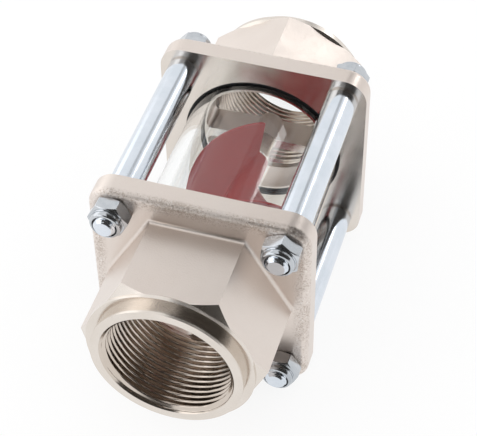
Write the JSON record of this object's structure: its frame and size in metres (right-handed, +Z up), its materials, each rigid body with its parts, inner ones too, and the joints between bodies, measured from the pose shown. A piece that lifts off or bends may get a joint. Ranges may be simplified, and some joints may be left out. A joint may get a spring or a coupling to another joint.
{
  "type": "impeller flow indicator",
  "caption": "In-line flow indicator: a glass sight tube with a red helical rotor, clamped by tie rods between two threaded end blocks.",
  "frame": {"origin": "on the flow axis, halfway between the two ports and the two plates", "axes": "+Y along the flow axis towards the outlet, +Z up, +X to the right seen from the inlet"},
  "size_m": [0.0796, 0.1588, 0.0796],
  "materials": {
    "block": "satin nickel plating on cast and turned brass",
    "glass": "clear polished tube",
    "seal": "matt black elastomer",
    "bush": "plain bearing plastic",
    "rotor": "satin red moulded plastic",
    "shaft": "ground stainless steel",
    "rod": "bright zinc plating on turned steel",
    "nut": "bright zinc plating"
  },
  "bodies": {
    "housing": {"inlet_block": "block", "outlet_block": "block", "sight_tube": "glass", "inlet_seal": "seal", "outlet_seal": "seal", "inlet_bush": "bush", "outlet_bush": "bush", "tie_rod_1": "rod", "tie_rod_2": "rod", "tie_rod_3": "rod", "tie_rod_4": "rod", "inlet_nut_1": "nut", "inlet_nut_2": "nut", "inlet_nut_3": "nut", "inlet_nut_4": "nut", "outlet_nut_1": "nut", "outlet_nut_2": "nut", "outlet_nut_3": "nut", "outlet_nut_4": "nut"},
    "rotor_body": {"rotor": "rotor", "rotor_shaft": "shaft"}
  },
  "joints": [
    {"name": "rotor_spin", "type": "hinge", "parent": "housing", "child": "rotor_body", "pos_m": [0, 0, 0], "axis": [0, 1, 0], "continuous": true}
  ]
}
